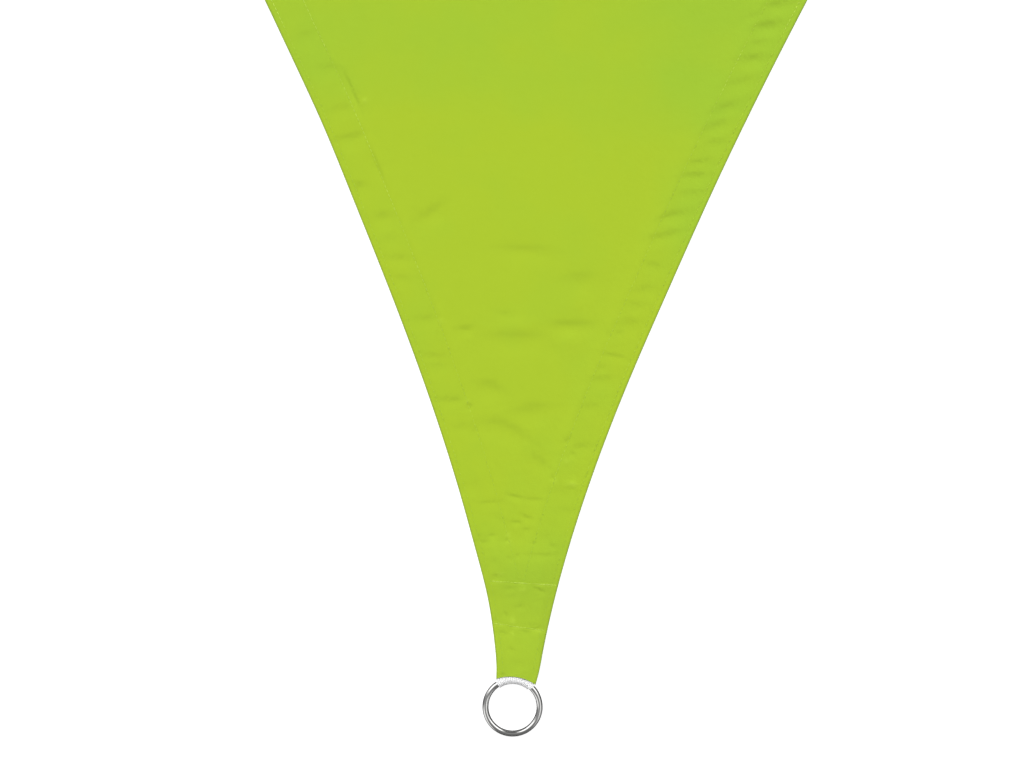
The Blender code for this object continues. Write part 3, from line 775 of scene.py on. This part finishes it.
def stitches(name, middles, ways, pale, material, underneath=False):
    """Small arched tubes along the cloth: middles and unit directions in plan, and how much painted sheen
    each gets.

    A stitch with less sheen lies looser and deeper in the cloth, and one below 0 lies evenly low under
    painted shade.
    """
    draw = np.random.default_rng(3)
    count = len(middles)
    swing = draw.normal(0, STITCH_SWING, count)
    length = STITCH_LENGTH * draw.uniform(0.85, 1.08, count)
    pale = pale * draw.uniform(0.55, 1.1, count)
    loose = draw.uniform(0, 1.1, count)
    sunk = THREAD_RADIUS * mix(loose * (1 - np.maximum(pale, 0)), 0.75 + 0.2 * loose, np.clip(-pale, 0, 1))
    aside = np.stack((-ways[:, 1], ways[:, 0]), 1)
    middles = middles + aside * draw.normal(0, STITCH_STRAY, count)[:, None]
    ways = ways + aside * swing[:, None]
    along = np.array(STITCH_SHARES) * length[:, None]
    x, y = (middles[:, i, None] + ways[:, i, None] * along for i in (0, 1))
    face, back = cloth_heights(x.ravel(), y.ravel())
    arch = np.array(STITCH_ARCH) * THREAD_RADIUS - sunk[:, None]
    z = face.reshape(x.shape) + arch
    if underneath:
        z = np.maximum(back.reshape(x.shape) - arch, THREAD_RADIUS * 0.6)
    radius = THREAD_RADIUS * np.array(STITCH_TAPER)[None, :, None]
    a = 2 * np.pi * np.arange(STITCH_SIDES) / STITCH_SIDES
    out, up = np.cos(a) * radius, np.sin(a) * radius
    px = x[:, :, None] - ways[:, 1, None, None] * out
    py = y[:, :, None] + ways[:, 0, None, None] * out
    pz = z[:, :, None] + up * STITCH_FLAT
    points = np.stack((px, py, pz), -1).reshape(-1, 3)
    g = np.arange(len(points)).reshape(px.shape)
    after = np.roll(g, -1, 2)
    faces = quads(g[:, :-1], after[:, :-1], after[:, 1:], g[:, 1:])
    faces += g[:, 0, ::-1].tolist() + g[:, -1].tolist()
    return new_piece(name, points, faces, material, pale=np.repeat(pale, g[0].size))


# Stretches where a hem's thread lies tight under a painted sheen: side of the corner, row, start, end, sheen
SHEEN_STRETCHES = (
    ("left", OUTER_ROW, 0.583, 0.640, 0.90),
    ("left", INNER_ROW, 0.550, 0.640, 0.75),
    ("left", INNER_ROW, 0.455, 0.535, 0.55),
    ("left", INNER_ROW, 0.405, 0.448, 0.55),
    ("left", INNER_ROW, 0.325, 0.385, 0.40),
    ("right", OUTER_ROW, 0.590, 0.640, 0.80),
    ("right", INNER_ROW, 0.520, 0.572, 0.50),
    ("right", INNER_ROW, 0.180, 0.215, 0.30),
)
SHEEN_FADE = 0.012


def row_paleness(t, row):
    """How much painted sheen a hem's thread gets: below 0 at the tips, where it gets painted shade, by the
    table near a corner, then in waves.
    """
    near = np.minimum(t, SIDE - t)
    pale = 1.50 * fade(near, 0.06, 0.16) - 1.40
    wave = 0.5 + 0.5 * np.cos(2 * np.pi * (near - 0.66) / 0.5)
    pale = pale + 0.45 * fade(near, 0.64, 0.06) * wave
    for side, stretch_row, start, end, paleness in SHEEN_STRETCHES:
        if stretch_row == row:
            place = t if side == "right" else SIDE - t
            shown = fade(place, start, SHEEN_FADE) * (1 - fade(place, end - SHEEN_FADE, SHEEN_FADE))
            pale = np.where(shown > 0, np.maximum(pale, paleness * shown), pale)
    return pale


def stitch_rows():
    """(middles, directions, paleness) of every stitch in plan."""
    made = []
    start, end = edge_ends()
    for k in range(CORNERS):
        for inset, first in ((OUTER_ROW, OUTER_START), (INNER_ROW, 0.0)):
            t = np.arange(start + first + 0.001, end - first, 0.0004)
            x, y = inset_point(k, t, inset)
            length = np.concatenate(([0], np.cumsum(np.hypot(np.diff(x), np.diff(y)))))
            at = np.interp(np.arange(STITCH_PITCH, length[-1], STITCH_PITCH), length, t)
            way = np.subtract(inset_point(k, at + 1e-4, inset), inset_point(k, at - 1e-4, inset)).T
            way /= np.hypot(*way.T)[:, None]
            x, y = inset_point(k, at, inset)
            keep = rim_distance(x, y) > STITCH_CLEAR
            if inset == INNER_ROW:
                for c in range(CORNERS):
                    keep &= in_corner(c, x, y)[1] > UPPER_SEAM + STITCH_CLEAR
            made.append(np.column_stack((x, y, way, row_paleness(at, inset)))[keep])
        for ends, levels in zip(CROSS_ROWS, CROSS_TIGHT_SHEEN):
            (u0, v0), (u1, v1) = np.array(ends) * MM
            length = math.hypot(u1 - u0, v1 - v0)
            at = np.arange(0.002, length - 0.001, CROSS_PITCH) / length
            x, y = to_sail(k, mix(u0, u1, at), mix(v0, v1, at))
            way = np.tile(turned((u1 - u0) / length, (v1 - v0) / length, TURN * k), (len(at), 1))
            pale = np.interp(at, np.linspace(0, 1, len(levels)), levels)
            keep = rim_distance(x, y) > CROSS_CLEAR
            made.append(np.column_stack((x, y, way, pale))[keep])
    made = np.concatenate(made)
    return made[:, :2], made[:, 2:4], made[:, 4]


# ---- webbing ----

RIBS = 21
RIB_STEPS = 6
RIB_HEIGHT = 0.00036
YARN_PITCH, YARN_HEIGHT = 0.0011, 0.00002
LOWEST_YARN = 0.00002
WRAP_STEPS = 26
STRAP_EDGE, STRAP_EDGE_DROP = 0.0006, 0.0003  # its edges are round over this width, and lower by this
BEND_END, WRAP_START = 0.044, 0.0232  # from the ring's middle: it bends between these, then wraps the wire
BAND_TURN = math.radians(5.0)  # the webbing on the wire lies turned and spread by this much
BAND_SPREAD = 1.01
BAND_PINCH = 0.13  # and its right half is drawn in by this share on the inside of the ring


def strap_place(s, distance):
    angle = s / RING_RADIUS * BAND_SPREAD + BAND_TURN
    near = np.minimum(distance, BAND_RADIUS)
    u, v = RING_OFFSET + near * np.sin(angle), near * np.cos(angle)
    share = np.clip((distance - BAND_RADIUS) / (STRAP_STRAIGHT - BAND_RADIUS), 0, 1)
    return mix(u, STRAP_MIDDLE + s, share), mix(v, np.maximum(distance, STRAP_STRAIGHT), share)


def yarn(way):
    """How the yarns across the webbing rise and fall along it."""
    return YARN_HEIGHT * np.cos(2 * np.pi * way / YARN_PITCH)


def strap(k, material):
    """Ribbed webbing folded round the wire: an outer and an inner skin, closed at its edges and ends."""
    s = np.linspace(-STRAP_WIDTH / 2, STRAP_WIDTH / 2, RIBS * RIB_STEPS + 1)[:, None]
    crest = np.abs(np.sin(np.pi * RIBS * (s / STRAP_WIDTH + 0.5))) ** 0.7
    rib = RIB_HEIGHT * (crest - 0.75)
    edge = np.clip((STRAP_WIDTH / 2 - np.abs(s)) / STRAP_EDGE, 0, 1)
    rib = rib - STRAP_EDGE_DROP * (1 - np.sqrt(1 - (1 - edge) ** 2))
    straight, bend = np.linspace(STRAP_END, BEND_END + 0.002, 12), np.linspace(BEND_END, WRAP_START, 30)
    far = np.concatenate((straight, bend))[None, :]
    u, v = strap_place(s, far)
    low, high = strap_heights(u, v)
    wire = wire_height(strap_place(s, RING_RADIUS)[1])
    angle = np.linspace(0, np.pi, WRAP_STEPS)[None, :]
    pinched = s - np.maximum(s, 0) * BAND_PINCH * np.sin(angle)
    skins = []
    outside = rib + yarn(far), WRAP_OUTER + rib + yarn(angle * WRAP_OUTER)
    for out, radius in (outside, (-STRAP_THICK, WRAP_INNER + 0 * rib)):
        turn_u, turn_v = strap_place(pinched, RING_RADIUS - radius * np.sin(angle))
        turn = np.stack((turn_u, turn_v, wire - radius * np.cos(angle)), -1)
        lower, upper = np.stack((u, v, low - out), -1), np.stack((u, v, high + out), -1)
        skins.append(np.concatenate((lower, turn, upper[:, ::-1]), 1))
    loop = np.concatenate((skins[0], skins[1][:, ::-1]), 1)
    g = np.arange(loop[:, :, 0].size).reshape(loop.shape[:2])
    points = loop.reshape(-1, 3)
    x, y = to_sail(k, points[:, 0], points[:, 1])
    points = np.column_stack((x, y, np.maximum(points[:, 2], LOWEST_YARN)))
    after, half = np.roll(g, -1, 1), g.shape[1] // 2
    skin, lining = g[:, :half], g[:, :half - 1:-1]
    faces = quads(g[:-1], g[1:], after[1:], after[:-1])
    faces += quads(skin[0, :-1], skin[0, 1:], lining[0, 1:], lining[0, :-1])
    faces += quads(skin[-1, 1:], skin[-1, :-1], lining[-1, :-1], lining[-1, 1:])
    # Painted shade in the grooves between the ribs.
    deep = np.broadcast_to((1 - crest) ** 1.5, g.shape).ravel()
    return new_piece(f"webbing_{k + 1}", points, faces, material, deep=deep)


# ---- ring ----

RING_STEPS = 160
WIRE_STEPS = 36


def ring(k, material):
    a = 2 * np.pi * np.arange(RING_STEPS)[:, None] / RING_STEPS
    b = 2 * np.pi * np.arange(WIRE_STEPS)[None, :] / WIRE_STEPS
    out = RING_RADIUS + WIRE_RADIUS * np.cos(b)
    u, v, z = out * np.sin(a), out * np.cos(a), WIRE_RADIUS * np.sin(b) + 0 * a
    c, s = math.cos(RING_TILT), math.sin(RING_TILT)
    v, z = v * c - z * s, v * s + z * c + RING_HEIGHT
    x, y = to_sail(k, u + RING_OFFSET, v)
    points = np.stack((x, y, z), -1).reshape(-1, 3)
    g = np.arange(RING_STEPS * WIRE_STEPS).reshape(RING_STEPS, WIRE_STEPS)
    across, along = np.roll(g, -1, 1), np.roll(g, -1, 0)
    faces = quads(g, across, np.roll(along, -1, 1), along)
    return new_piece(f"steel_ring_{k + 1}", points, faces, material)


# ---- materials ----


class Nodes:
    """Builds the node tree of a material or a world in short lines."""

    def __init__(self, owner):
        owner.use_nodes = True
        self.owner, self.tree = owner, owner.node_tree

    def node(self, kind, **settings):
        made = self.tree.nodes.new(kind)
        for name, value in settings.items():
            setattr(made, name, value)
        return made

    def link(self, a, b):
        self.tree.links.new(a, b)

    def put(self, target, value):
        if isinstance(value, (int, float, tuple)):
            target.default_value = value
        else:
            self.link(value, target)

    def math(self, operation, a, b=0.0, c=0.0):
        made = self.node("ShaderNodeMath", operation=operation)
        for target, value in zip(made.inputs, (a, b, c)):
            self.put(target, value)
        return made.outputs[0]

    def tone(self, name):
        """A value that the mesh holds at each point."""
        return self.node("ShaderNodeAttribute", attribute_name=name).outputs["Fac"]

    def place(self):
        return self.node("ShaderNodeTexCoord").outputs["Object"]

    def noise(self, scale, detail=2.0, roughness=0.5):
        made = self.node("ShaderNodeTexNoise")
        self.link(self.place(), made.inputs["Vector"])
        for name, value in (("Scale", scale), ("Detail", detail), ("Roughness", roughness)):
            made.inputs[name].default_value = value
        return made.outputs["Fac"]

    def ramp(self, value, low, high, from_low=0.0, from_high=1.0, kind="LINEAR"):
        made = self.node("ShaderNodeMapRange", interpolation_type=kind)
        numbers = {"From Min": from_low, "From Max": from_high, "To Min": low, "To Max": high}
        for name, number in numbers.items():
            made.inputs[name].default_value = number
        self.link(value, made.inputs["Value"])
        return made.outputs["Result"]

    def eased(self, value, low, high):
        """0 up to low and 1 from high on."""
        return self.ramp(value, 0.0, 1.0, low, high, "SMOOTHSTEP")

    def blend(self, share, a, b):
        made = self.node("ShaderNodeMix", data_type="RGBA")
        self.put(made.inputs["Factor"], share)
        self.put(made.inputs["A"], a)
        self.put(made.inputs["B"], b)
        return made.outputs["Result"]

    def bump(self, height, distance, strength=1.0, before=None):
        made = self.node("ShaderNodeBump")
        made.inputs["Distance"].default_value = distance
        made.inputs["Strength"].default_value = strength
        self.link(height, made.inputs["Height"])
        if before is not None:
            self.link(before, made.inputs["Normal"])
        return made.outputs["Normal"]

    def set(self, **values):
        shader = self.tree.nodes["Principled BSDF"]
        for name, value in values.items():
            self.put(shader.inputs[name.replace("_", " ")], value)
        return self.owner


def new_material(name):
    return Nodes(bpy.data.materials.new(name))


def weave(n, pitch, height, strength):
    """The bumps of a plain weave."""
    split = n.node("ShaderNodeSeparateXYZ")
    n.link(n.place(), split.inputs[0])
    a, b = [n.math("SINE", n.math("MULTIPLY", split.outputs[axis], 2 * math.pi / pitch)) for axis in (0, 1)]
    return n.bump(n.math("MULTIPLY", a, b), height, strength)


def fabric():
    """Coated polyester: a fine plain weave under a thin coat."""
    n = new_material("coated_polyester")
    tone, edge, painted_crease_shading = n.tone("tone"), n.tone("edge"), n.tone("painted_crease_shading")
    patch = n.ramp(n.noise(14.0, 3.0), -0.20, 0.20, 0.35, 0.65)
    share = n.node("ShaderNodeClamp").inputs["Value"]
    n.link(n.math("ADD", tone, patch), share)
    colour = n.blend(share.node.outputs[0], (0.341, 0.475, 0.021, 1), (0.294, 0.467, 0.027, 1))
    speck = n.ramp(n.noise(900.0, 3.0, 0.6), 0.0, 0.12, 0.35, 0.75)
    colour = n.blend(speck, colour, (0.29, 0.43, 0.021, 1))
    # Painted shade along the folded edges and over the tips.
    colour = n.blend(n.math("MULTIPLY", edge, 0.5), colour, (0.17, 0.22, 0.025, 1))
    # Painted shade on the steep walls of the troughs, and a painted highlight on the fine ridges.
    colour = n.blend(n.math("MULTIPLY", painted_crease_shading, 0.27), colour, (0.20, 0.30, 0.018, 1))
    colour = n.blend(n.math("MULTIPLY", painted_crease_shading, -0.22), colour, (0.46, 0.62, 0.060, 1))
    crinkle = n.bump(n.noise(190.0, 3.0, 0.55), 0.00030, 0.5, weave(n, 0.00056, 0.00003, 0.35))
    rough = n.ramp(n.noise(140.0, 2.0), 0.55, 0.70)
    return n.set(Base_Color=colour, Roughness=rough, Specular_IOR_Level=0.16, Normal=crinkle)


def thread():
    n = new_material("polyester_thread")
    pale = n.tone("pale")
    # A tight stitch gets a painted sheen, much lighter than the thread's own green, and a stitch below 0 gets
    # painted shade.
    colour = n.blend(pale, (0.35, 0.49, 0.026, 1), (0.60, 0.78, 0.13, 1))
    colour = n.blend(n.math("MULTIPLY", pale, -1.0), colour, (0.27, 0.42, 0.024, 1))
    colour = n.blend(n.math("MULTIPLY", n.noise(1500.0), 0.4), colour, (0.30, 0.44, 0.026, 1))
    return n.set(
        Base_Color=colour, Roughness=n.ramp(n.noise(800.0), 0.4, 0.6), Specular_IOR_Level=0.35,
        Normal=n.bump(n.noise(5000.0), 0.00005, 0.4),
    )


def webbing():
    n = new_material("white_webbing")
    colour = n.blend(n.noise(420.0, 3.0), (0.79, 0.79, 0.80, 1), (0.84, 0.84, 0.85, 1))
    # Painted shade in the grooves between the ribs of the webbing.
    colour = n.blend(n.tone("deep"), colour, (0.62, 0.62, 0.63, 1))
    normal = n.bump(n.noise(2200.0, 2.0), 0.00004, 0.3, weave(n, 0.0007, 0.00005, 0.3))
    # White yarn lets light creep through it a little way.
    n.set(Subsurface_Weight=0.9, Subsurface_Radius=(1.0, 1.0, 1.0), Subsurface_Scale=0.0022)
    rough = n.ramp(n.noise(600.0), 0.72, 0.88)
    return n.set(Base_Color=colour, Roughness=rough, Specular_IOR_Level=0.15, Normal=normal)


def steel():
    n = new_material("polished_steel")
    colour = n.blend(n.noise(700.0, 3.0), (0.74, 0.74, 0.725, 1), (0.66, 0.66, 0.65, 1))
    normal = n.bump(n.noise(1600.0, 3.0), 0.00002, 0.25)
    rough = n.ramp(n.noise(500.0, 4.0), 0.04, 0.12)
    return n.set(Base_Color=colour, Metallic=1.0, Roughness=rough, Normal=normal)


def pale_floor():
    n = new_material("pale_floor")
    return n.set(
        Base_Color=n.blend(n.noise(3.0), (0.34, 0.34, 0.34, 1), (0.36, 0.36, 0.36, 1)),
        Roughness=0.9, Emission_Color=(1.0, 1.0, 1.0, 1), Emission_Strength=0.86,
    )


# ---- stage, light and camera ----


FLOOR_HALF = 150.0
FLOOR_DROP = 0.0002  # below the sail, so that the two don't touch


def stage():
    corners = [(x * FLOOR_HALF, y * FLOOR_HALF, -FLOOR_DROP) for x, y in ((-1, -1), (1, -1), (1, 1), (-1, 1))]
    data = bpy.data.meshes.new("floor")
    data.from_pydata(corners, [], [(0, 1, 2, 3)])
    data.materials.append(pale_floor())
    floor = add("floor", data)
    # The rings mirror the dark of the studio below, not the pale floor.
    floor.visible_glossy = False


SKY = (
    # height of the direction (its sine), brightness towards +Y and -Y, brightness towards +X and -X
    (-1.0, 0.05, 0.05),
    (-0.15, 0.08, 0.08),
    (0.0, 0.16, 0.24),
    (0.30, 0.18, 0.28),
    (0.48, 0.18, 0.30),
    (0.60, 0.16, 0.28),
    (0.86, 0.17, 0.38),
    (0.97, 0.24, 0.42),
    (1.0, 0.38, 0.38),
)
PANELS = (
    # azimuth and elevation of a panel's middle, how far from it it begins and ends to fade, brightness
    (38, 45, 13, 24, 2.20),
    (137, 48, 13, 25, 2.20),
    (6, 54, 9, 17, 1.45),
    (-20, 53, 9, 17, 1.40),
    (150, 14, 10, 24, 1.10),
    (207, 30, 8, 19, 1.40),
    (217, 8, 15, 29, 1.10),
    (320, 28, 5, 15, 0.80),
    (338, 8, 8, 20, 0.50),
)


def way(azimuth, elevation):
    """A direction, its azimuth from +X towards +Y, both in degrees."""
    a, e = math.radians(azimuth), math.radians(elevation)
    return math.cos(a) * math.cos(e), math.sin(a) * math.cos(e), math.sin(e)


def sky():
    """A grey sky that is darker towards +Y and -Y, with the bright panels that the rings mirror."""
    world = bpy.data.worlds.new("studio")
    bpy.context.scene.world = world
    n = Nodes(world)
    split = n.node("ShaderNodeSeparateXYZ")
    n.link(n.node("ShaderNodeTexCoord").outputs["Generated"], split.inputs[0])
    x, y, z = split.outputs
    flat = n.math("ADD", n.math("ADD", n.math("MULTIPLY", x, x), n.math("MULTIPLY", y, y)), 1e-4)
    sideways = n.eased(n.math("DIVIDE", n.math("MULTIPLY", x, x), flat), 0.10, 0.60)
    height = n.math("MULTIPLY", n.math("ADD", z, 1.0), 0.5)
    bands = []
    for column in (1, 2):
        ramp = n.node("ShaderNodeValToRGB")
        n.link(height, ramp.inputs["Fac"])
        for row in SKY[1:-1]:
            ramp.color_ramp.elements.new((row[0] + 1) / 2)
        for stop, row in zip(ramp.color_ramp.elements, SKY):
            stop.color = (row[column],) * 3 + (1,)
        bands.append(ramp.outputs["Color"])
    light = n.blend(sideways, *bands)
    for azimuth, elevation, inner, outer, brightness in PANELS:
        a, b, c = [n.math("MULTIPLY", place, part) for place, part in zip((x, y, z), way(azimuth, elevation))]
        nearness = n.math("ADD", n.math("ADD", a, b), c)
        shown = n.eased(nearness, math.cos(math.radians(outer)), math.cos(math.radians(inner)))
        light = n.blend(shown, light, (brightness,) * 3 + (1,))
    background = n.tree.nodes["Background"]
    n.link(light, background.inputs["Color"])
    background.inputs["Strength"].default_value = 1.0


def sun(name, azimuth, elevation, strength, angle):
    data = bpy.data.lights.new(name, "SUN")
    data.energy, data.angle = strength, math.radians(angle)
    made = add(name, data)
    made.rotation_euler = Vector(way(azimuth, elevation)).to_track_quat("Z", "Y").to_euler()
    made.visible_glossy = False


PICTURE_MIDDLE = (-0.0102, 0.2679)  # in the first corner's frame
PICTURE_WIDTH = 0.852  # on the ground
PICTURE_TURN = math.radians(1.25)


def camera():
    """Straight above the first corner, turned a little, as far off as a long lens needs."""
    data = bpy.data.cameras.new("camera")
    data.lens, data.sensor_width = 85.0, 36.0
    data.clip_start, data.clip_end = 0.05, 500.0
    made = add("camera", data)
    x, y = to_sail(0, *PICTURE_MIDDLE)
    made.location = (x, y, PICTURE_WIDTH * data.lens / data.sensor_width)
    made.rotation_euler = (0, 0, PICTURE_TURN)
    bpy.context.scene.camera = made


# ---- the pieces ----

bpy.context.scene.view_settings.view_transform = "Standard"
bpy.context.scene.view_settings.look = "None"

cloth_green, thread_green, white, shiny = fabric(), thread(), webbing(), steel()
sheet = cloth(cloth_green)
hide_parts("sail_cloth")
rows = stitch_rows()
face_thread = stitches("thread_face", *rows, thread_green)
back_thread = stitches("thread_back", *rows, thread_green, underneath=True)
for corner in range(CORNERS):
    strap_piece, ring_piece = strap(corner, white), ring(corner, shiny)
    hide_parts(f"strap_{corner + 1}")
    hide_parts(f"ring_{corner + 1}")

stage()
sky()
sun("key", azimuth=98, elevation=38, strength=2.80, angle=12)
camera()
